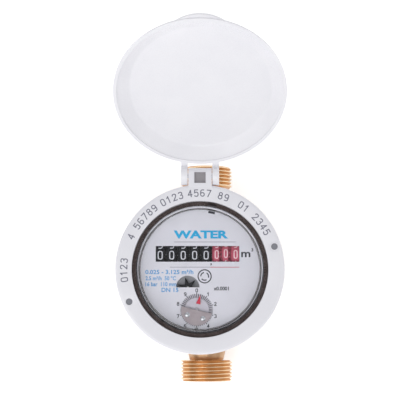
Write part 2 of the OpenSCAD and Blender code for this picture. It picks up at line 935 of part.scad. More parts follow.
module cover_ring() {
    color(white)
        difference() {
            union() {
                rotate_extrude()
                    ring_outline();
                hinge_block();
                for (p = pin_at)
                    rotate([0, 0, p[1]])
                        translate([p[0], 0, 0])
                            rod(2.2, z_hold + hold_h, z_ring - face_t + 1);
            }
            for (p = pin_at)
                rotate([0, 0, p[1]])
                    translate([p[0], 0, 0]) {
                        rod(shank_r + run_gap, z_hold + hold_h - 1, z_ring + 1);
                        rod(pin_d / 2 + run_gap, z_ring - 2.6, z_ring + 1);
                    }
            rotate([0, 0, pin_at[1][1]])
                translate([pin_at[1][0], 0, 0])
                    tube(pin_d / 2 + 0.55, pin_d / 2 + 1, z_ring - 0.25, z_ring + 1);
            along_x(-block_w, hinge_y, hinge_z)
                cylinder(r = hinge_r + set_gap, h = 2 * block_w);
            translate([-2.75, outer_r + 0.7, hinge_z + hinge_r + 0.4])
                cube([5.5, nose_y + knuckle_r - 2.2 - outer_r - 0.7, 20]);
        }
}

module locking_pins() {
    color([0.45, 0.46, 0.48])
        for (p = pin_at)
            rotate([0, 0, p[1]])
                translate([p[0], 0, 0]) {
                    rod(shank_r, z_hold + 1, z_ring - 2);
                    rod(pin_d / 2, z_ring - 2.5, z_ring - 0.4);
                }
}

module hinge_pin() {
    color(steel)
        along_x(0, hinge_y, hinge_z)
            rod(hinge_r, -lug_x0 - lug_w, lug_x0 + lug_w);
}

module lid_outline() {
    polygon([[lid_r - rim_w, 0], [lid_r, 0], [lid_r, 1.3], [lid_flat_r + 1.2, lid_depth + 1.3],
        [lid_flat_r - 1, lid_depth + 1.7], [0, lid_depth + 2], [0, lid_depth], [lid_flat_r, lid_depth],
        [lid_r - rim_w, 0.7]]);
}

module lug_outline() {
    z1 = z_lid + 0.6;
    translate([hinge_y, hinge_z])
        circle(r = lug_r);
    polygon([[lid_r - 2, z1], [outer_r + 1.2, z1], [hinge_y - 2, hinge_z], [hinge_y + 2, hinge_z],
        [hinge_y + lug_r * cos(40), hinge_z + lug_r * sin(40)], [hinge_y - 2, z1 + 2.2],
        [lid_r - 2, z1 + 2]]);
    translate([hinge_y, hinge_z])
        rotate([0, 0, 180 + lid_open])
            intersection() {
                translate([0, -1.8])
                    square([heel_r, 3.6]);
                circle(r = heel_r);
            }
}

module lid_closed() {
    difference() {
        union() {
            translate([0, 0, z_lid])
                rotate_extrude()
                    lid_outline();
            for (x = [-lug_x0 - lug_w, lug_x0])
                along_x(x)
                    linear_extrude(lug_w)
                        lug_outline();
            translate([0, 0, z_lid + 0.9])
                linear_extrude(1.5)
                    difference() {
                        translate([0, lip_r - lip_out - lid_r])
                            circle(r = lip_r);
                        circle(r = lid_r - 0.6);
                    }
        }
        translate([0, 0, z_lid])
            rotate_extrude()
                polygon([[0, -1], [lid_r - rim_w, -1], [lid_r - rim_w, 0.7], [lid_flat_r, lid_depth],
                    [0, lid_depth]]);
        along_x(-block_w, hinge_y, hinge_z)
            cylinder(r = hinge_r + run_gap, h = 2 * block_w);
    }
}

module lid() {
    color(white)
        translate([0, hinge_y, hinge_z])
            rotate([-lid_open, 0, 0])
                translate([0, -hinge_y, -hinge_z])
                    lid_closed();
}

body();
inlet_strainer();
impeller_pivot();
impeller();
pivot_jewel();
impeller_magnet();
upper_pivot();
pressure_plate();
plate_seal();
clamp_ring();
shield_ring();
register_cup();
magnet_pin();
magnet_arbor();
drive_magnet();
star_arbor();
star_wheel();
pointer_arbor();
pointer_disc();
half_plate();
pointer_rivets();
pointer_hand();
transfer_arbor();
cross_shaft();
idler_pin();
idler_wheel();
roller_shaft();
roller_1();
roller_2();
roller_3();
roller_4();
roller_5();
roller_6();
roller_7();
roller_8();
pinion_shaft();
carry_pinion_1();
carry_pinion_2();
carry_pinion_3();
carry_pinion_4();
carry_pinion_5();
carry_pinion_6();
carry_pinion_7();
roller_frame();
upper_plate();
dial_plate();
lens_gasket();
lens();
register_band();
retaining_ring();
cover_ring();
locking_pins();
hinge_pin();
lid();
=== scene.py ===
import math
import bmesh
import bpy
from mathutils import Matrix, Vector


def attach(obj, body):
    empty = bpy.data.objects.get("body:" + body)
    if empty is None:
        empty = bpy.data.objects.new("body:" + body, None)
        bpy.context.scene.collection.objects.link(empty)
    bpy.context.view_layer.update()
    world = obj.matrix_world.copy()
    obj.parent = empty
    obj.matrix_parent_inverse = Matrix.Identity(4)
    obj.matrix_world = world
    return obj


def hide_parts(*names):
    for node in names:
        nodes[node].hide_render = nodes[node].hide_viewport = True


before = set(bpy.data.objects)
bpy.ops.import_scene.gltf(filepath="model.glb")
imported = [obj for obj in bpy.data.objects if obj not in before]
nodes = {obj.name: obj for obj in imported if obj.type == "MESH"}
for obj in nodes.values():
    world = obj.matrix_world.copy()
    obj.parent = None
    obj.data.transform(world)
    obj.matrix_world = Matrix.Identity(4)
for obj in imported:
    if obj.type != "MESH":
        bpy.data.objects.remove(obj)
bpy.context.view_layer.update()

mm = 0.001  # sizes below are in millimetres unless a note says otherwise
print("frame loaded:", len(nodes), "CAD nodes")


# shader tools

def linear(red, green, blue):
    # a screen colour from 0 to 255 as the linear colour that shaders take
    def one(c):
        c /= 255
        return c / 12.92 if c <= 0.04045 else ((c + 0.055) / 1.055) ** 2.4
    return (one(red), one(green), one(blue), 1.0)


def newGroup(name, inputs, outputs, kind="ShaderNodeTree"):
    # a node tree with named sockets, and its first and last node
    group = bpy.data.node_groups.new(name, kind)
    for label, socketKind, value in inputs:
        socket = group.interface.new_socket(name=label, in_out="INPUT", socket_type=socketKind)
        if value is not None:
            socket.default_value = value
    for label, socketKind in outputs:
        group.interface.new_socket(name=label, in_out="OUTPUT", socket_type=socketKind)
    return group, group.nodes.new("NodeGroupInput"), group.nodes.new("NodeGroupOutput")


def addNode(tree, kind, **settings):
    node = tree.nodes.new(kind)
    for key, value in settings.items():
        setattr(node, key, value)
    return node


def buildMottle():
    # slow change of tone over a surface, between a dark and a light colour
    group, given, out = newGroup("mottle", [
        ("Vector", "NodeSocketVector", None), ("Scale", "NodeSocketFloat", 100.0),
        ("Dark", "NodeSocketColor", (0.4, 0.4, 0.4, 1)), ("Light", "NodeSocketColor", (0.6, 0.6, 0.6, 1))],
        [("Color", "NodeSocketColor"), ("Mask", "NodeSocketFloat")])
    noise = addNode(group, "ShaderNodeTexNoise")
    noise.inputs["Detail"].default_value = 5.0
    noise.inputs["Roughness"].default_value = 0.6
    spread = addNode(group, "ShaderNodeMapRange")
    spread.inputs["From Min"].default_value = 0.3
    spread.inputs["From Max"].default_value = 0.7
    mix = addNode(group, "ShaderNodeMix", data_type="RGBA")
    link = group.links.new
    link(given.outputs["Vector"], noise.inputs["Vector"])
    link(given.outputs["Scale"], noise.inputs["Scale"])
    link(noise.outputs["Fac"], spread.inputs["Value"])
    link(spread.outputs["Result"], mix.inputs["Factor"])
    link(given.outputs["Dark"], mix.inputs["A"])
    link(given.outputs["Light"], mix.inputs["B"])
    link(mix.outputs["Result"], out.inputs["Color"])
    link(spread.outputs["Result"], out.inputs["Mask"])
    return group


def buildGrain():
    # fine moulding or casting grain: a height for bump, and a roughness that follows it
    group, given, out = newGroup("grain", [
        ("Vector", "NodeSocketVector", None), ("Scale", "NodeSocketFloat", 2000.0),
        ("Smooth", "NodeSocketFloat", 0.3), ("Rough", "NodeSocketFloat", 0.4)],
        [("Height", "NodeSocketFloat"), ("Roughness", "NodeSocketFloat")])
    fine = addNode(group, "ShaderNodeTexNoise")
    fine.inputs["Detail"].default_value = 3.0
    pits = addNode(group, "ShaderNodeTexVoronoi", feature="SMOOTH_F1")
    blend = addNode(group, "ShaderNodeMath", operation="MULTIPLY")
    vary = addNode(group, "ShaderNodeMapRange")
    vary.inputs["From Min"].default_value = 0.3
    vary.inputs["From Max"].default_value = 0.7
    link = group.links.new
    for texture in (fine, pits):
        link(given.outputs["Vector"], texture.inputs["Vector"])
        link(given.outputs["Scale"], texture.inputs["Scale"])
    link(fine.outputs["Fac"], blend.inputs[0])
    link(pits.outputs["Distance"], blend.inputs[1])
    link(fine.outputs["Fac"], vary.inputs["Value"])
    link(given.outputs["Smooth"], vary.inputs["To Min"])
    link(given.outputs["Rough"], vary.inputs["To Max"])
    link(blend.outputs[0], out.inputs["Height"])
    link(vary.outputs["Result"], out.inputs["Roughness"])
    return group


def buildTurning():
    # fine rings left by a lathe, round the pipe, which runs along Y
    group, given, out = newGroup("turning", [
        ("Vector", "NodeSocketVector", None), ("Spacing", "NodeSocketFloat", 4000.0)],
        [("Height", "NodeSocketFloat")])
    stretch = addNode(group, "ShaderNodeVectorMath", operation="MULTIPLY")
    stretch.inputs[1].default_value = (0.02, 1.0, 0.02)
    noise = addNode(group, "ShaderNodeTexNoise")
    noise.inputs["Detail"].default_value = 2.0
    link = group.links.new
    link(given.outputs["Vector"], stretch.inputs[0])
    link(stretch.outputs["Vector"], noise.inputs["Vector"])
    link(given.outputs["Spacing"], noise.inputs["Scale"])
    link(noise.outputs["Fac"], out.inputs["Height"])
    return group


def buildRoots():
    # how far out a point stands on the threaded pipe: 0 at the roots, 1 at the crests
    group, given, out = newGroup("threadDepth", [
        ("Vector", "NodeSocketVector", None), ("Axis", "NodeSocketVector", (0, 0, 0)),
        ("Root", "NodeSocketFloat", 0.0121), ("Crest", "NodeSocketFloat", 0.0132)],
        [("Mask", "NodeSocketFloat")])
    away = addNode(group, "ShaderNodeVectorMath", operation="SUBTRACT")
    flat = addNode(group, "ShaderNodeVectorMath", operation="MULTIPLY")
    flat.inputs[1].default_value = (1, 0, 1)
    far = addNode(group, "ShaderNodeVectorMath", operation="LENGTH")
    share = addNode(group, "ShaderNodeMapRange", interpolation_type="SMOOTHSTEP")
    link = group.links.new
    link(given.outputs["Vector"], away.inputs[0])
    link(given.outputs["Axis"], away.inputs[1])
    link(away.outputs["Vector"], flat.inputs[0])
    link(flat.outputs["Vector"], far.inputs[0])
    link(far.outputs["Value"], share.inputs["Value"])
    link(given.outputs["Root"], share.inputs["From Min"])
    link(given.outputs["Crest"], share.inputs["From Max"])
    link(share.outputs["Result"], out.inputs["Mask"])
    return group


mottle = buildMottle()
grain = buildGrain()
turning = buildTurning()
roots = buildRoots()

bumpDepth = dict(grain=0.2, lathe=0.1)


def finish(name, dark, light, smooth, rough, metal=0.0, tone=120.0, grainScale=2500.0, bump=0.02,
           lathe=0.0, plain=None):
    # one material: mottled colour, grain in roughness and bump, and lathe rings where asked
    material = bpy.data.materials.new(name)
    material.use_nodes = True
    tree = material.node_tree
    shader = tree.nodes["Principled BSDF"]
    shader.inputs["Metallic"].default_value = metal
    for socket, value in (plain or {}).items():
        shader.inputs[socket].default_value = value
    place = addNode(tree, "ShaderNodeTexCoord")
    colour = addNode(tree, "ShaderNodeGroup", node_tree=mottle)
    colour.inputs["Scale"].default_value = tone
    colour.inputs["Dark"].default_value = dark
    colour.inputs["Light"].default_value = light
    surface = addNode(tree, "ShaderNodeGroup", node_tree=grain)
    surface.inputs["Scale"].default_value = grainScale
    surface.inputs["Smooth"].default_value = smooth
    surface.inputs["Rough"].default_value = rough
    relief = addNode(tree, "ShaderNodeBump")
    relief.inputs["Strength"].default_value = bump
    relief.inputs["Distance"].default_value = bumpDepth["grain"] * mm
    link = tree.links.new
    link(place.outputs["Object"], colour.inputs["Vector"])
    link(place.outputs["Object"], surface.inputs["Vector"])
    link(colour.outputs["Color"], shader.inputs["Base Color"])
    link(surface.outputs["Roughness"], shader.inputs["Roughness"])
    link(surface.outputs["Height"], relief.inputs["Height"])
    if lathe:
        rings = addNode(tree, "ShaderNodeGroup", node_tree=turning)
        cut = addNode(tree, "ShaderNodeBump")
        cut.inputs["Strength"].default_value = lathe
        cut.inputs["Distance"].default_value = bumpDepth["lathe"] * mm
        link(place.outputs["Object"], rings.inputs["Vector"])
        link(rings.outputs["Height"], cut.inputs["Height"])
        link(relief.outputs["Normal"], cut.inputs["Normal"])
        link(cut.outputs["Normal"], shader.inputs["Normal"])
    else:
        link(relief.outputs["Normal"], shader.inputs["Normal"])
    return material


def clearMaterial(name, tint, roughness):
    # clear plastic with the least unevenness
    material = bpy.data.materials.new(name)
    material.use_nodes = True
    tree = material.node_tree
    shader = tree.nodes["Principled BSDF"]
    shader.inputs["Base Color"].default_value = tint
    shader.inputs["Transmission Weight"].default_value = 1.0
    shader.inputs["IOR"].default_value = 1.46
    shader.inputs["Roughness"].default_value = roughness
    place = addNode(tree, "ShaderNodeTexCoord")
    surface = addNode(tree, "ShaderNodeGroup", node_tree=grain)
    surface.inputs["Scale"].default_value = 60.0
    relief = addNode(tree, "ShaderNodeBump")
    relief.inputs["Strength"].default_value = 0.01
    relief.inputs["Distance"].default_value = bumpDepth["grain"] * mm
    link = tree.links.new
    link(place.outputs["Object"], surface.inputs["Vector"])
    link(surface.outputs["Height"], relief.inputs["Height"])
    link(relief.outputs["Normal"], shader.inputs["Normal"])
    return material


castBrass = finish("castBrass", linear(184, 147, 115), linear(208, 175, 142), 0.3, 0.44, metal=1.0,
                   tone=90, grainScale=1400, bump=0.12)
turnedBrass = finish("turnedBrass", linear(232, 202, 164), linear(246, 224, 192), 0.3, 0.4, metal=1.0,
                     tone=160, grainScale=3000, bump=0.02, lathe=0.015)
whitePlastic = finish("whitePlastic", linear(231, 230, 236), linear(238, 237, 242), 0.26, 0.36,
                      tone=40, grainScale=5000, bump=0.02)
# the ring's white plastic painted lighter for the lid: painted light where the lid faces the lamps
lidLitWhite = finish("lidLitWhite", linear(238, 237, 242), linear(243, 242, 246), 0.24, 0.34,
                    tone=40, grainScale=5000, bump=0.02)
dialPaint = finish("dialPaint", linear(218, 216, 224), linear(225, 223, 231), 0.45, 0.55,
                   tone=60, grainScale=6000, bump=0.02)
blackPlastic = finish("blackPlastic", linear(10, 11, 18), linear(16, 18, 27), 0.55, 0.7, bump=0.0,
                      plain={"Specular IOR Level": 0.25})
redPlastic = finish("redPlastic", linear(182, 78, 99), linear(198, 96, 116), 0.55, 0.7, bump=0.0,
                    plain={"Specular IOR Level": 0.25})
greyPlastic = finish("greyPlastic", linear(120, 121, 126), linear(136, 137, 142), 0.4, 0.55, bump=0.04)
# the frame's grey plastic painted lighter for the upper plate: painted light in the window round the star
# wheel
plateLitGrey = finish("plateLitGrey", linear(176, 176, 182), linear(190, 190, 196), 0.4, 0.55, bump=0.04)
palePlastic = finish("palePlastic", linear(214, 213, 208), linear(226, 225, 220), 0.35, 0.5, bump=0.03)
# painted shade for the floor of the hinge recess
recessShade = finish("recessShade", linear(146, 142, 146), linear(158, 154, 157), 0.5, 0.65, bump=0.03)
pinGrey = finish("pinGrey", linear(122, 123, 130), linear(140, 141, 148), 0.35, 0.5, bump=0.03)
brightSteel = finish("brightSteel", linear(190, 190, 194), linear(214, 214, 218), 0.16, 0.28, metal=1.0,
                     grainScale=4000, bump=0.03)
bandMetal = finish("bandMetal", linear(86, 75, 74), linear(108, 97, 95), 0.22, 0.34, metal=0.85,
                   tone=200, bump=0.03)
mauvePlate = finish("mauvePlate", linear(164, 152, 156), linear(180, 168, 172), 0.35, 0.5, metal=0.4,
                    tone=300, grainScale=4000, bump=0.05)
ferrite = finish("ferrite", linear(52, 52, 56), linear(70, 70, 74), 0.5, 0.7, metal=0.3, bump=0.15)
sealRubber = finish("sealRubber", linear(26, 26, 28), linear(36, 36, 38), 0.6, 0.8, bump=0.1)
jewelRed = finish("jewelRed", linear(150, 20, 40), linear(170, 30, 55), 0.05, 0.12, bump=0.0)
handRed = finish("handRed", linear(196, 40, 66), linear(214, 56, 80), 0.35, 0.5, bump=0.02)
clearLens = clearMaterial("clearLens", (0.98, 0.99, 1.0, 1.0), 0.0)
clearDisc = clearMaterial("clearDisc", (0.93, 0.91, 0.93, 1.0), 0.04)


def ink(name, dark, light, smooth=0.45):
    return finish(name, linear(*dark), linear(*light), smooth, smooth + 0.15, tone=900)


inks = {
    "dark": ink("inkDark", (42, 42, 54), (54, 54, 66), 0.5),
    "blue": ink("inkBlue", (8, 160, 214), (24, 176, 226)),
    "paleBlue": ink("inkPaleBlue", (70, 146, 204), (98, 168, 220)),
    "red": ink("inkRed", (190, 70, 90), (206, 90, 108)),
    "grey": ink("inkGrey", (150, 148, 160), (166, 164, 176)),
    "rose": ink("inkRose", (232, 196, 202), (242, 212, 216)),
    "white": ink("inkWhite", (206, 206, 214), (220, 220, 226)),
    "brown": ink("inkBrown", (38, 30, 32), (48, 39, 41), 0.5),
    "laser": ink("laserMark", (104, 104, 118), (124, 124, 138), 0.5),
}

blackRollers = 5  # the other three are red

finishes = {
    "body": castBrass, "clamp_ring": castBrass, "cover_ring": whitePlastic, "lid": lidLitWhite,
    "register_cup": greyPlastic, "roller_frame": greyPlastic, "upper_plate": plateLitGrey,
    "locking_pins": pinGrey, "star_wheel": blackPlastic, "pointer_hand": handRed, "dial_plate": dialPaint,
    "pointer_disc": clearDisc, "pointer_arbor": dialPaint, "half_plate": mauvePlate,
    "register_band": bandMetal, "impeller_magnet": ferrite, "drive_magnet": ferrite,
    "plate_seal": sealRubber, "lens_gasket": sealRubber, "lens": clearLens, "pivot_jewel": jewelRed,
}
steelNodes = ("impeller_pivot", "upper_pivot", "magnet_pin", "idler_pin", "roller_shaft", "pinion_shaft",
              "hinge_pin", "shield_ring", "pointer_rivets")
for name in nodes:
    material = finishes.get(name, palePlastic)
    if name in steelNodes:
        material = brightSteel
    if name.startswith("roller_") and name[-1].isdigit():
        material = blackPlastic if int(name[-1]) <= blackRollers else redPlastic
    nodes[name].data.materials.clear()
    nodes[name].data.materials.append(material)
for name in ("lens", "pointer_disc"):
    nodes[name].visible_shadow = False  # lamps light the dial straight through clear pieces
print("finishes on every node:", len(bpy.data.materials))


# mesh tools

# ink: its thickness, the step up to a further layer, and how far it reaches into the face
printed = dict(thick=0.03, layer=0.004, sink=0.006)
weld = dict(ink=0.0005, solid=0.001, cut=0.0001)  # points closer together than this are one


def makePiece(name, bm, materials, body, replaced=()):
    mesh = bpy.data.meshes.new(name)
    bm.to_mesh(mesh)
    bm.free()
    piece = bpy.data.objects.new(name, mesh)
    bpy.context.collection.objects.link(piece)
    for material in materials:
        mesh.materials.append(material)
    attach(piece, body)
    if replaced:
        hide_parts(*replaced)
    return piece


def bakeMesh(holder):
    # the holder's evaluated shape as a plain mesh; the holder is then removed
    bpy.context.view_layer.update()
    evaluated = holder.evaluated_get(bpy.context.evaluated_depsgraph_get())
    mesh = bpy.data.meshes.new_from_object(evaluated)
    bpy.data.objects.remove(holder)
    return mesh


def wordMesh(word, height, width, weight):
    # printed letters as a thin closed solid, centred on X and Y, standing on Z = 0, in metres
    reach = 0.1  # half the thickness that the letters are drawn with, before they are scaled
    curve = bpy.data.curves.new("word", "FONT")
    curve.body = word
    curve.extrude = reach
    curve.offset = weight
    curve.resolution_u = 3
    holder = bpy.data.objects.new("word", curve)
    bpy.context.collection.objects.link(holder)
    mesh = bakeMesh(holder)
    bpy.data.curves.remove(curve)
    xs = [v.co.x for v in mesh.vertices]
    ys = [v.co.y for v in mesh.vertices]
    tall = height * mm / (max(ys) - min(ys))
    wide = width * mm / (max(xs) - min(xs)) if width else tall
    middle = Vector(((max(xs) + min(xs)) / 2, (max(ys) + min(ys)) / 2, -reach))
    size = Matrix.Diagonal((wide, tall, printed["thick"] * mm / (2 * reach), 1))
    mesh.transform(size @ Matrix.Translation(-middle))
    return mesh


def addMesh(bm, mesh, matrix):
    mesh.transform(matrix)
    bm.from_mesh(mesh)
    bpy.data.meshes.remove(mesh)


def closeSeams(bm):
    bmesh.ops.remove_doubles(bm, verts=bm.verts, dist=weld["ink"] * mm)
    bmesh.ops.recalc_face_normals(bm, faces=bm.faces)


def joinRows(bm, rows, closed):
    # walls between rows of four corners, with a cap at each end of an open run
    count = len(rows)
    for i in range(count if closed else count - 1):
        a, b = rows[i], rows[(i + 1) % count]
        for k in range(4):
            bm.faces.new((a[k], a[(k + 1) % 4], b[(k + 1) % 4], b[k]))
    if not closed:
        bm.faces.new(rows[0])
        bm.faces.new(rows[-1][::-1])


def addBar(bm, x0, y0, x1, y1, z, thick=printed["thick"]):
    # a flat bar between two corners
    corner = [bm.verts.new((x * mm, y * mm, w * mm)) for w in (z, z + thick)
              for x, y in ((x0, y0), (x1, y0), (x1, y1), (x0, y1))]
    for face in ((3, 2, 1, 0), (4, 5, 6, 7), (0, 1, 5, 4), (1, 2, 6, 5), (2, 3, 7, 6), (3, 0, 4, 7)):
        bm.faces.new([corner[i] for i in face])


def addRing(bm, x, y, z, inner, outer, start=0.0, sweep=360.0, thick=printed["thick"], steps=48):
    # a flat ring, or a part of one, as a closed strip
    closed = sweep >= 360
    rows = []
    for i in range(steps if closed else steps + 1):
        a = math.radians(start + sweep * i / steps)
        rows.append([bm.verts.new(((x + r * math.cos(a)) * mm, (y + r * math.sin(a)) * mm, w * mm))
                     for r, w in ((inner, z), (outer, z), (outer, z + thick), (inner, z + thick))])
    joinRows(bm, rows, closed)


# geometry node tools

def nodeMaths(tree):
    # a short way to add maths nodes: each value is a number or another node's output
    def add(operation, *values):
        node = addNode(tree, "ShaderNodeMath", operation=operation)
        for socket, value in zip(node.inputs, values):
            if isinstance(value, (int, float)):
                socket.default_value = value
            else:
                tree.links.new(value, socket)
        return node.outputs[0]
    return add


def endTree(tree, geometry, material, out):
    # each tree ends the same way: instances made real, then the material
    real = addNode(tree, "GeometryNodeRealizeInstances")
    coat = addNode(tree, "GeometryNodeSetMaterial")
    link = tree.links.new
    link(geometry, real.inputs[0])
    link(real.outputs[0], coat.inputs["Geometry"])
    link(material, coat.inputs["Material"])
    link(coat.outputs[0], out.inputs[0])


def bakeTree(tree, mesh):
    # what the tree makes of a mesh, as a plain mesh
    holder = bpy.data.objects.new(tree.name, mesh)
    bpy.context.collection.objects.link(holder)
    step = holder.modifiers.new(tree.name, "NODES")
    step.node_group = tree
    return bakeMesh(holder)


# threaded ends, cut by rule into turned blanks

# start is in turns; rootShare and crestShare are the flat parts of the ridge's slope; endRing and backRing
# split the flat faces; spigot and tail reach into the body; nothing inside cutFrom is cut
# the last three entries set the painted shade in the thread roots: the radius inside which it is full, the
# radius where it ends, and its tone
thread = dict(pitch=1.814, major=13.22, minor=12.06, start=0.4, rootShare=0.06, crestShare=0.94,
              pipeX=3.4, pipeZ=17.0, shoulder=44.5, end=55.0, bore=6.5, boreChamfer=0.4,
              backChamfer=0.25, frontChamfer=1.0, endRing=10.2, backRing=10.4, spigot=8.0, tail=0.6,
              cutFrom=9.0, around=144, rowStep=0.11, bodyCut=0.3, smoothAngle=32.0,
              rootShadeFrom=12.1, rootShadeTo=13.1, rootShadeTone=(214, 162, 108))


def paintRootShade():
    # painted shade in the thread: the brass falls towards a darker tone at the roots
    t = thread
    tree = turnedBrass.node_tree
    shader = tree.nodes["Principled BSDF"]
    plain = shader.inputs["Base Color"].links[0].from_socket
    place = addNode(tree, "ShaderNodeTexCoord")
    depth = addNode(tree, "ShaderNodeGroup", node_tree=roots)
    depth.inputs["Axis"].default_value = (t["pipeX"] * mm, 0, t["pipeZ"] * mm)
    depth.inputs["Root"].default_value = t["rootShadeFrom"] * mm
    depth.inputs["Crest"].default_value = t["rootShadeTo"] * mm
    mix = addNode(tree, "ShaderNodeMix", data_type="RGBA")
    mix.inputs["A"].default_value = linear(*t["rootShadeTone"])
    link = tree.links.new
    link(place.outputs["Object"], depth.inputs["Vector"])
    link(depth.outputs["Mask"], mix.inputs["Factor"])
    link(plain, mix.inputs["B"])
    link(mix.outputs["Result"], shader.inputs["Base Color"])


def threadTree():
    # pulls a blank's outside in to a rounded ridge that winds round Z
    t = thread
    tree, given, out = newGroup("cutThread", [
        ("Blank", "NodeSocketGeometry", None), ("Pitch", "NodeSocketFloat", t["pitch"] * mm),
        ("Minor", "NodeSocketFloat", t["minor"] * mm),
        ("Depth", "NodeSocketFloat", (t["major"] - t["minor"]) * mm),
        ("Inside", "NodeSocketFloat", t["cutFrom"] * mm), ("Start", "NodeSocketFloat", t["start"]),
        ("Finish", "NodeSocketMaterial", turnedBrass)],
        [("Threaded", "NodeSocketGeometry")], "GeometryNodeTree")
    maths = nodeMaths(tree)
    link = tree.links.new
    place = addNode(tree, "GeometryNodeInputPosition")
    axes = addNode(tree, "ShaderNodeSeparateXYZ")
    link(place.outputs[0], axes.inputs[0])
    x, y, z = axes.outputs
    radius = maths("SQRT", maths("ADD", maths("MULTIPLY", x, x), maths("MULTIPLY", y, y)))
    turn = maths("DIVIDE", maths("ARCTAN2", y, x), 2 * math.pi)
    along = maths("ADD", maths("DIVIDE", z, given.outputs["Pitch"]), given.outputs["Start"])
    phase = maths("FRACT", maths("SUBTRACT", along, turn))
    wave = maths("ABSOLUTE", maths("MULTIPLY_ADD", phase, 2.0, -1.0))
    rounded = addNode(tree, "ShaderNodeMapRange", interpolation_type="SMOOTHSTEP")
    rounded.inputs["From Min"].default_value = t["rootShare"]
    rounded.inputs["From Max"].default_value = t["crestShare"]
    link(wave, rounded.inputs["Value"])
    cut = maths("MULTIPLY_ADD", rounded.outputs["Result"], given.outputs["Depth"], given.outputs["Minor"])
    share = maths("DIVIDE", maths("MINIMUM", radius, cut), radius)
    moved = addNode(tree, "ShaderNodeCombineXYZ")
    link(maths("MULTIPLY", x, share), moved.inputs[0])
    link(maths("MULTIPLY", y, share), moved.inputs[1])
    link(z, moved.inputs[2])
    outside = addNode(tree, "FunctionNodeCompare", data_type="FLOAT", operation="GREATER_THAN")
    link(radius, outside.inputs["A"])
    link(given.outputs["Inside"], outside.inputs["B"])
    setPlace = addNode(tree, "GeometryNodeSetPosition")
    link(given.outputs["Blank"], setPlace.inputs["Geometry"])
    link(outside.outputs[0], setPlace.inputs["Selection"])
    link(moved.outputs[0], setPlace.inputs["Position"])
    endTree(tree, setPlace.outputs[0], given.outputs["Finish"], out)
    return tree


def threadBlank():
    # a turned ring along Z, closed all round: outside with chamfers, end face, bore and back face
    t = thread
    length = t["end"] - t["shoulder"]
    rows = int(length / t["rowStep"])
    outline = []
    for i in range(rows + 1):
        z = length * i / rows
        back = t["major"] - t["backChamfer"] + z
        front = t["major"] - t["frontChamfer"] + length - z
        outline.append((min(t["major"], back, front), z))
    outline += [(t["endRing"], length), (t["bore"] + t["boreChamfer"], length),
                (t["bore"], length - t["boreChamfer"]), (t["bore"], -t["tail"]),
                (t["spigot"], -t["tail"]), (t["spigot"], 0.0), (t["backRing"], 0.0)]
    bm = bmesh.new()
    rings = []
    for i in range(t["around"]):
        a = 2 * math.pi * i / t["around"]
        rings.append([bm.verts.new((r * math.cos(a) * mm, r * math.sin(a) * mm, z * mm)) for r, z in outline])
    count = len(outline)
    for i in range(t["around"]):
        a, b = rings[i], rings[(i + 1) % t["around"]]
        for k in range(count):
            bm.faces.new((a[k], b[k], b[(k + 1) % count], a[(k + 1) % count]))
    bmesh.ops.recalc_face_normals(bm, faces=bm.faces)
    mesh = bpy.data.meshes.new("threadBlank")
    bm.to_mesh(mesh)
    bm.free()
    return mesh


def threadedEnd(tree, side):
    t = thread
    mesh = bakeTree(tree, threadBlank())
    turn = Matrix.Rotation(math.radians(-90 * side), 4, "X")  # Z runs out along the pipe
    mesh.transform(Matrix.Translation((t["pipeX"] * mm, side * t["shoulder"] * mm, t["pipeZ"] * mm)) @ turn)
    return mesh


def buildBody():
    # the cast body, cut off at both shoulders, with a threaded end on each
    t = thread
    bm = bmesh.new()
    bm.from_mesh(nodes["body"].data)
    bmesh.ops.remove_doubles(bm, verts=bm.verts, dist=weld["solid"] * mm)
    for side in (1, -1):
        cutAt = Vector((0, side * (t["shoulder"] - t["bodyCut"]) * mm, 0))
        everything = bm.verts[:] + bm.edges[:] + bm.faces[:]
        made = bmesh.ops.bisect_plane(bm, geom=everything, dist=weld["cut"] * mm, plane_co=cutAt,
                                      plane_no=(0, side, 0), clear_outer=True)
        rim = [e for e in made["geom_cut"] if isinstance(e, bmesh.types.BMEdge)]
        bmesh.ops.triangle_fill(bm, edges=rim, use_beauty=True, normal=(0, side, 0))
    for face in bm.faces:
        face.material_index = 0
        face.smooth = True
    tree = threadTree()
    for side in (1, -1):
        mesh = threadedEnd(tree, side)
        before = len(bm.faces)
        bm.from_mesh(mesh)
        bm.faces.ensure_lookup_table()
        for face in bm.faces[before:]:
            face.material_index = 1
            face.smooth = True
        bpy.data.meshes.remove(mesh)
    for edge in bm.edges:
        edge.smooth = edge.is_manifold and edge.calc_face_angle(0) < math.radians(t["smoothAngle"])
    return makePiece("brassBody", bm, [castBrass, turnedBrass], "meter", ["body"])


paintRootShade()
buildBody()
print("brass body with threaded ends")


# moulded pieces with their edges rounded

# edges that bend by more than sharp degrees are rounded
lidShell = dict(edge=0.55, sharp=28.0, fillet=0.7, floorRadius=33.4, floorHeight=69.5, radiusSlack=0.1,
                heightSlack=0.05, hingeY=45.5, hingeZ=61.0, open=135.0)
ringShell = dict(edge=0.25, sharp=38.0)
rounding = dict(filletSteps=5, edgeSteps=3, flatAngle=0.5, smoothAngle=30.0)


def roundsLidFloor(edge):
    # true for the edges round the lid's inner floor, found with the lid turned back to closed
    s = lidShell
    axle = Vector((0, s["hingeY"], s["hingeZ"]))
    shut = Matrix.Rotation(math.radians(s["open"]), 3, "X")
    for vert in edge.verts:
        x, y, z = shut @ (vert.co / mm - axle) + axle
        if abs(z - s["floorHeight"]) > s["heightSlack"]:
            return False
        if abs(math.hypot(x, y) - s["floorRadius"]) > s["radiusSlack"]:
            return False
    return True


def bevelEdges(bm, edges, width, segments, clamp):
    bmesh.ops.bevel(bm, geom=edges, offset=width * mm, offset_type="OFFSET", segments=segments, profile=0.5,
                    affect="EDGES", clamp_overlap=clamp, loop_slide=True)


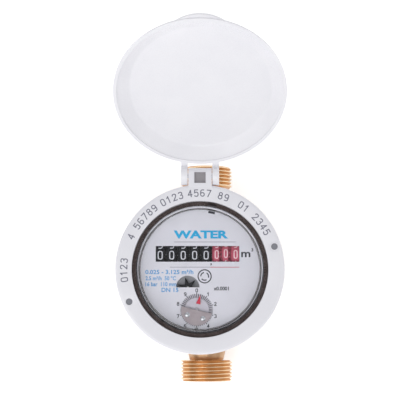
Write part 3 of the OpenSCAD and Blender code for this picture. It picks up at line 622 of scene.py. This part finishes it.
def roundEdges(name, node, body, material, sizes, isSoft=None):
    # a copy of a solid with its sharp edges rounded, in place of the plain one; soft edges get a fillet first
    bm = bmesh.new()
    bm.from_mesh(nodes[node].data)
    bmesh.ops.remove_doubles(bm, verts=bm.verts, dist=weld["solid"] * mm)
    flat = math.radians(rounding["flatAngle"])
    bmesh.ops.dissolve_limit(bm, angle_limit=flat, verts=bm.verts, edges=bm.edges)
    if isSoft:
        bevelEdges(bm, [e for e in bm.edges if isSoft(e)], sizes["fillet"], rounding["filletSteps"], False)
    least = math.radians(sizes["sharp"])
    sharp = [e for e in bm.edges if e.is_manifold and e.calc_face_angle(0) > least]
    bevelEdges(bm, sharp, sizes["edge"], rounding["edgeSteps"], True)
    bmesh.ops.triangulate(bm, faces=bm.faces)
    for face in bm.faces:
        face.smooth = True
    for edge in bm.edges:
        edge.smooth = edge.is_manifold and edge.calc_face_angle(0) < math.radians(rounding["smoothAngle"])
    return makePiece(name, bm, [material], body, [node])


roundEdges("lidShell", "lid", "lid", lidLitWhite, lidShell, roundsLidFloor)
roundEdges("ringShell", "cover_ring", "meter", whitePlastic, ringShell)
print("rounded lid and ring")

recess = dict(x=2.73, y0=41.72, y1=47.05, floor=62.6, thick=0.05)


def buildRecessShade():
    # the grey floor of the recess in the hinge block: painted shade, darker than the shallow pocket's own
    bm = bmesh.new()
    addBar(bm, -recess["x"], recess["y0"], recess["x"], recess["y1"], recess["floor"], recess["thick"])
    bmesh.ops.recalc_face_normals(bm, faces=bm.faces)
    makePiece("recessShadeFloor", bm, [recessShade], "meter")


buildRecessShade()
print("hinge recess")


# numbers drawn with strokes of even width

# the longest straight run in a unit box, and the least cosine that a corner is widened by
strokes = dict(longest=0.13, mitre=0.6)


def turnAbout(path):
    return [(1 - x, 1 - y) for x, y in path]


lowLoop = [(0.3, 0), (0.7, 0), (1, 0.15), (1, 0.42), (0.7, 0.56), (0.3, 0.56), (0, 0.42), (0, 0.15)]
highLoop = [(x * 0.86 + 0.07, y * 0.785 + 0.56) for x, y in lowLoop]  # a little narrower
sixTail = [(0, 0.3), (0, 0.86), (0.3, 1), (0.92, 0.98)]
# each stroke: rounded or straight, closed or open, and its points in a unit box
digitStrokes = {
    0: [(True, True, [(0.2, 0), (0.8, 0), (1, 0.13), (1, 0.87), (0.8, 1), (0.2, 1), (0, 0.87), (0, 0.13)])],
    1: [(False, False, [(0.15, 0.78), (0.55, 1), (0.55, 0)])],
    2: [(True, False, [(0, 0.74), (0.1, 1), (0.9, 1), (1, 0.66), (0.05, 0.02)]),
        (False, False, [(0, 0), (1, 0)])],
    3: [(True, False, [(0, 0.84), (0.2, 1), (0.95, 1), (0.95, 0.54), (0.4, 0.54)]),
        (True, False, [(0.44, 0.54), (1, 0.54), (1, 0), (0.15, 0), (0, 0.16)])],
    4: [(False, False, [(0.75, 0), (0.75, 1), (0, 0.3), (1, 0.3)])],
    5: [(False, False, [(0.92, 1), (0.12, 1), (0.05, 0.55)]),
        (True, False, [(0.05, 0.55), (0.4, 0.66), (1, 0.6), (1, 0), (0.2, 0), (0, 0.14)])],
    6: [(True, True, lowLoop), (True, False, sixTail)],
    7: [(False, False, [(0, 1), (1, 1), (0.35, 0)])],
    8: [(True, True, lowLoop), (True, True, highLoop)],
    9: [(True, True, turnAbout(lowLoop)), (True, False, turnAbout(sixTail))],
}


def pairsOf(points, closed):
    # each point with the next one
    return list(zip(points, points[1:] + points[:1] if closed else points[1:]))


def smoothPath(points, rounded, closed):
    # cuts corners twice where asked, then splits long runs so that they can bend
    for turn in range(2 if rounded else 0):
        cut = []
        for (ax, ay), (bx, by) in pairsOf(points, closed):
            cut.append((ax * 0.75 + bx * 0.25, ay * 0.75 + by * 0.25))
            cut.append((ax * 0.25 + bx * 0.75, ay * 0.25 + by * 0.75))
        points = cut if closed else [points[0]] + cut + [points[-1]]
    split = []
    for (ax, ay), (bx, by) in pairsOf(points, closed):
        parts = max(1, math.ceil(math.dist((ax, ay), (bx, by)) / strokes["longest"]))
        split += [(ax + (bx - ax) * i / parts, ay + (by - ay) * i / parts) for i in range(parts)]
    return split if closed else split + [points[-1]]


def addStroke(bm, path, closed, stroke, thick, place):
    # a band of even width along a path, closed all round, each corner set by place(x, y, z)
    count = len(path)
    foot = -printed["sink"]
    rows = []
    for i, (x, y) in enumerate(path):
        back = path[(i - 1) % count] if closed or i else (x, y)
        ahead = path[(i + 1) % count] if closed or i < count - 1 else (x, y)
        before = Vector((x - back[0], y - back[1])).normalized()
        after = Vector((ahead[0] - x, ahead[1] - y)).normalized()
        along = (before + after).normalized()
        reach = stroke / 2 / max(strokes["mitre"], along.dot(after) if after.length else along.dot(before))
        side = Vector((-along.y, along.x)) * reach
        rows.append([bm.verts.new(place(x + k * side.x, y + k * side.y, z))
                     for k, z in ((1, foot), (-1, foot), (-1, thick), (1, thick))])
    joinRows(bm, rows, closed)


def addDigit(bm, digit, wide, tall, stroke, place):
    # straight strokes are laid bar by bar; each bar or curve lies a little higher than the one before it
    level = printed["thick"]
    for rounded, closed, points in digitStrokes[digit]:
        runs = [points] if rounded else [list(pair) for pair in zip(points, points[1:])]
        for run in runs:
            path = [Vector(((x - 0.5) * wide, (y - 0.5) * tall)) for x, y in smoothPath(run, rounded, closed)]
            if not rounded:
                reach = (path[-1] - path[0]).normalized() * stroke / 2
                path[0] = path[0] - reach
                path[-1] = path[-1] + reach
            addStroke(bm, path, closed, stroke, level, place)
            level += printed["layer"]


def flatPlace(matrix):
    # sets a stroke's corners on a flat face
    return lambda x, y, z: matrix @ Vector((x * mm, y * mm, z * mm))


# print on the dial, and the index tab's painted shadow

dial = dict(top=57.0, pointer=(-1.6, -19.65), scaleRadius=9.5, tickInner=5.9, tickOuter=7.9,
            tickLong=8.4, tickWidth=0.4, tickCount=50, digitTall=1.5, digitWide=0.9, digitStroke=0.36)
emblem = dict(x=2.25, y=-3.3, inner=2.9, outer=3.45, arcInner=1.6, arcOuter=2.15,
              arcs=(100, 220, 340), sweep=80)
# a dark arc on the dial just inside the index tab: the tab's painted shadow
tabShadow = dict(inner=27.9, outer=29.2, start=75.2, sweep=6.6)
# each rule: from one X to another, at a Y
rules = dict(width=0.3, grey=((-12.7, 17.6, 13.3), (-14.7, 5.0, 1.0)), red=((5.0, 19.1, 1.0),))
# each word: its letters, the X and Y of its middle, height, width if not the font's own, thickening
words = {
    "dark": [("m", 22.3, 7.3, 2.6, 4.5, 0.025), ("3", 25.5, 9.6, 1.6, None, 0.04),
             ("x0.0001", 10.3, -9.2, 1.9, 7.4, 0.03), (",", 5.4, 2.5, 1.2, 0.7, 0.03)],
    "blue": [("WATER", 0.45, 17.1, 4.0, 26.6, 0.045)],
    "paleBlue": [("0.025 - 3.125 m³/h", -14.9, -1.2, 2.1, 23.4, 0.025),
                 ("2.5 m³/h  50 °C", -19.1, -4.2, 2.1, 14.8, 0.025),
                 ("16 bar  110 mm", -19.0, -7.1, 2.1, 15.0, 0.025), ("DN 15", -14.6, -9.9, 2.1, 8.2, 0.025)],
}


def tickTree():
    # a ring of printed ticks, every fifth one longer
    d = dial
    tree, given, out = newGroup("tickRing", [
        ("Radius", "NodeSocketFloat", d["tickInner"] * mm),
        ("Length", "NodeSocketFloat", (d["tickOuter"] - d["tickInner"]) * mm),
        ("LongLength", "NodeSocketFloat", (d["tickLong"] - d["tickInner"]) * mm),
        ("Width", "NodeSocketFloat", d["tickWidth"] * mm),
        ("Thickness", "NodeSocketFloat", printed["thick"] * mm),
        ("Count", "NodeSocketInt", d["tickCount"]), ("Ink", "NodeSocketMaterial", inks["dark"])],
        [("Ticks", "NodeSocketGeometry")], "GeometryNodeTree")
    maths = nodeMaths(tree)
    link = tree.links.new
    circle = addNode(tree, "GeometryNodeMeshCircle")
    link(given.outputs["Count"], circle.inputs["Vertices"])
    link(given.outputs["Radius"], circle.inputs["Radius"])
    bar = addNode(tree, "GeometryNodeMeshCube")
    bar.inputs["Size"].default_value = (1, 1, 1)
    foot = addNode(tree, "GeometryNodeTransform")
    foot.inputs["Translation"].default_value = (0.5, 0, 0.5)
    link(bar.outputs["Mesh"], foot.inputs["Geometry"])
    index = addNode(tree, "GeometryNodeInputIndex")
    place = addNode(tree, "GeometryNodeInputPosition")
    axes = addNode(tree, "ShaderNodeSeparateXYZ")
    link(place.outputs[0], axes.inputs[0])
    turn = addNode(tree, "ShaderNodeCombineXYZ")
    link(maths("ARCTAN2", axes.outputs[1], axes.outputs[0]), turn.inputs[2])
    fifth = maths("LESS_THAN", maths("MODULO", index.outputs[0], 5), 0.5)
    extra = maths("SUBTRACT", given.outputs["LongLength"], given.outputs["Length"])
    size = addNode(tree, "ShaderNodeCombineXYZ")
    link(maths("ADD", given.outputs["Length"], maths("MULTIPLY", fifth, extra)), size.inputs[0])
    link(given.outputs["Width"], size.inputs[1])
    link(given.outputs["Thickness"], size.inputs[2])
    spread = addNode(tree, "GeometryNodeInstanceOnPoints")
    link(circle.outputs["Mesh"], spread.inputs["Points"])
    link(foot.outputs[0], spread.inputs["Instance"])
    link(turn.outputs[0], spread.inputs["Rotation"])
    link(size.outputs[0], spread.inputs["Scale"])
    endTree(tree, spread.outputs[0], given.outputs["Ink"], out)
    return tree


def onDial(x, y):
    return Matrix.Translation((x * mm, y * mm, dial["top"] * mm))


def addWords(bm, colour):
    for letters, x, y, height, width, weight in words[colour]:
        addMesh(bm, wordMesh(letters, height, width, weight), onDial(x, y))


def addRules(bm, colour):
    for x0, x1, y in rules[colour]:
        addBar(bm, x0, y, x1, y + rules["width"], dial["top"])


def addScale(bm):
    # the pointer's ticks and its numbers, zero at the top
    px, py = dial["pointer"]
    ticks = bakeTree(tickTree(), bpy.data.meshes.new("ticks"))
    addMesh(bm, ticks, onDial(px, py) @ Matrix.Rotation(math.radians(90), 4, "Z"))
    for digit in range(10):
        a = math.radians(90 - 36 * digit)  # a tenth of a turn for each number
        r = dial["scaleRadius"]
        spot = onDial(px + r * math.cos(a), py + r * math.sin(a))
        addDigit(bm, digit, dial["digitWide"], dial["digitTall"], dial["digitStroke"], flatPlace(spot))


def addEmblem(bm):
    # a plain ring with three arcs inside it
    e = emblem
    addRing(bm, e["x"], e["y"], dial["top"], e["inner"], e["outer"])
    for start in e["arcs"]:
        addRing(bm, e["x"], e["y"], dial["top"], e["arcInner"], e["arcOuter"], start, e["sweep"], steps=20)


def finishPrint(name, bm, colour):
    closeSeams(bm)
    makePiece(name, bm, [inks[colour]], "meter")


def buildDialPrint():
    dark = bmesh.new()
    addScale(dark)
    addWords(dark, "dark")
    addEmblem(dark)
    # the index tab's painted shadow, in the dark ink of the print
    addRing(dark, 0, 0, dial["top"], tabShadow["inner"], tabShadow["outer"], tabShadow["start"], tabShadow["sweep"], steps=12)
    finishPrint("dialPrintDarkAndTabShadow", dark, "dark")
    for name, colour in (("dialPrintBlue", "blue"), ("dialRatings", "paleBlue")):
        bm = bmesh.new()
        addWords(bm, colour)
        finishPrint(name, bm, colour)
    for name, colour in (("dialRules", "grey"), ("dialRuleRed", "red")):
        bm = bmesh.new()
        addRules(bm, colour)
        finishPrint(name, bm, colour)


buildDialPrint()

tab = dict(inner=31.05, outer=32.3, upright=31.4, foot=60.6, top=63.0, start=75.4, sweep=7.6, thick=0.06,
           steps=12, lift=0.01, inset=0.02, trim=0.05)


def buildTab():
    # the dark index tab: it lies on the band's lip and stands up along the wall of the lens
    t = tab
    bm = bmesh.new()
    addRing(bm, 0, 0, t["foot"], t["inner"], t["outer"], t["start"], t["sweep"], t["thick"], t["steps"])
    # the upright is set in a little, so that none of its edges lies on one of the foot's
    addRing(bm, 0, 0, t["foot"] + t["lift"], t["inner"] + t["inset"], t["upright"], t["start"] + t["trim"],
            t["sweep"] - 2 * t["trim"], t["top"] - t["foot"], t["steps"])
    bmesh.ops.recalc_face_normals(bm, faces=bm.faces)
    makePiece("indexTab", bm, [inks["brown"]], "meter")


buildTab()
print("dial print and index tab")


# numbers on the rollers, wrapped round each drum

# lead: how many degrees each drum's zero stands from the top
drum = dict(radius=8.5, axisY=7.65, axisZ=48.1, step=36.0,
            tall=3.75, wideBlack=1.98, wideRed=1.5, stroke=0.47,
            centres=(-19.4, -13.8, -8.2, -2.6, 3.0, 8.15, 12.6, 17.35),
            lead=(-4.5, -4.2, -4.6, -4.4, -4.0, -1.8, 1.4, -1.4))


def drumPlace(middle, lead):
    # sets a stroke's corners round a drum
    def bent(x, y, z):
        a = lead + y / drum["radius"]
        r = drum["radius"] + z
        return Vector((middle + x, drum["axisY"] + r * math.sin(a), drum["axisZ"] + r * math.cos(a))) * mm
    return bent


def buildDrumNumbers():
    for k, (middle, lead) in enumerate(zip(drum["centres"], drum["lead"]), 1):
        black = k <= blackRollers
        wide = drum["wideBlack"] if black else drum["wideRed"]
        bm = bmesh.new()
        for digit in range(10):
            place = drumPlace(middle, math.radians(lead - drum["step"] * digit))
            addDigit(bm, digit, wide, drum["tall"], drum["stroke"], place)
        bmesh.ops.recalc_face_normals(bm, faces=bm.faces)
        makePiece(f"drumNumbers_{k}", bm, [inks["white" if black else "rose"]], f"roller_{k}")


buildDrumNumbers()
print("numbers on eight drums")


# laser marks on the cover ring

# groups: the angle of each group's middle, in degrees, and its digits
marks = dict(radius=36.75, top=64.0, tall=3.1, wide=1.75, stroke=0.46, gap=3.05,
             groups=((181.0, "0123"), (155.0, "4"), (136.5, "56789"), (112.0, "0123"), (90.5, "4567"),
                     (72.0, "89"), (55.0, "01"), (36.0, "2345")))


def buildRingMarks():
    bm = bmesh.new()
    pitch = math.degrees(marks["gap"] / marks["radius"])
    reach = Matrix.Translation((0, marks["radius"] * mm, marks["top"] * mm))
    for middle, digits in marks["groups"]:
        for i, digit in enumerate(digits):
            a = middle - (i - (len(digits) - 1) / 2) * pitch
            turn = Matrix.Rotation(math.radians(a - 90), 4, "Z")
            addDigit(bm, int(digit), marks["wide"], marks["tall"], marks["stroke"], flatPlace(turn @ reach))
    closeSeams(bm)
    makePiece("ringMarks", bm, [inks["laser"]], "meter")


buildRingMarks()
print("marks on the cover ring")


# camera, floor and light

shot = dict(place=(0.0, -32.7, 664.0), tilt=6.28, lens=112.18, sensor=36.0)
ground = dict(size=4.0, tone=0.9, rough=0.9, glow=0.5)  # size in metres
# tones: how high a part of the sky stands, from level to overhead, and how bright it is
sky = dict(strength=0.6, tint=(0.98, 0.99, 1.0),
           tones=((0.0, 0.75), (0.3, 0.82), (0.65, 1.0), (0.9, 0.95), (1.0, 0.5)))
# each lamp: its place and size in metres, and its power in watts
lamps = {"key": ((-0.4, -0.55, 0.85), 1.1, 5.6), "fill": ((0.9, -0.15, 0.55), 0.9, 1.6),
         "back": ((0.0, 0.9, 0.5), 0.9, 0.9)}
lampTarget = (0, 0, 0.05)  # metres


def buildCamera():
    camera = bpy.data.objects.new("camera", bpy.data.cameras.new("camera"))
    bpy.context.collection.objects.link(camera)
    camera.data.sensor_width = shot["sensor"]
    camera.data.lens = shot["lens"]
    camera.location = [v * mm for v in shot["place"]]
    camera.rotation_euler = (math.radians(shot["tilt"]), 0, 0)
    bpy.context.scene.camera = camera
    bpy.context.scene.view_settings.view_transform = "Standard"


def buildFloor():
    bm = bmesh.new()
    bmesh.ops.create_grid(bm, x_segments=1, y_segments=1, size=ground["size"])
    mesh = bpy.data.meshes.new("floor")
    bm.to_mesh(mesh)
    bm.free()
    floor = bpy.data.objects.new("floor", mesh)
    bpy.context.collection.objects.link(floor)
    pale = bpy.data.materials.new("paleFloor")
    pale.use_nodes = True
    shader = pale.node_tree.nodes["Principled BSDF"]
    shader.inputs["Base Color"].default_value = (ground["tone"], ground["tone"], ground["tone"], 1)
    shader.inputs["Roughness"].default_value = ground["rough"]
    shader.inputs["Emission Color"].default_value = (1, 1, 1, 1)
    shader.inputs["Emission Strength"].default_value = ground["glow"]
    mesh.materials.append(pale)


def buildSky():
    world = bpy.data.worlds.new("studio")
    bpy.context.scene.world = world
    world.use_nodes = True
    tree = world.node_tree
    back = tree.nodes["Background"]
    look = addNode(tree, "ShaderNodeTexCoord")
    axes = addNode(tree, "ShaderNodeSeparateXYZ")
    ramp = addNode(tree, "ShaderNodeValToRGB")
    stops = ramp.color_ramp.elements
    while len(stops) < len(sky["tones"]):
        stops.new(0.5)
    for stop, (height, tone) in zip(stops, sky["tones"]):
        stop.position = height
        stop.color = [tone * share for share in sky["tint"]] + [1]
    tree.links.new(look.outputs["Generated"], axes.inputs[0])
    tree.links.new(axes.outputs["Z"], ramp.inputs["Fac"])
    tree.links.new(ramp.outputs["Color"], back.inputs["Color"])
    back.inputs["Strength"].default_value = sky["strength"]


def buildLamps():
    for name, (place, size, power) in lamps.items():
        lamp = bpy.data.objects.new(name, bpy.data.lights.new(name, "AREA"))
        bpy.context.collection.objects.link(lamp)
        lamp.data.size = size
        lamp.data.energy = power
        lamp.location = place
        aim = Vector(lampTarget) - Vector(place)
        lamp.rotation_euler = aim.to_track_quat("-Z", "Y").to_euler()


buildCamera()
buildFloor()
buildSky()
buildLamps()
print("camera, floor and light")
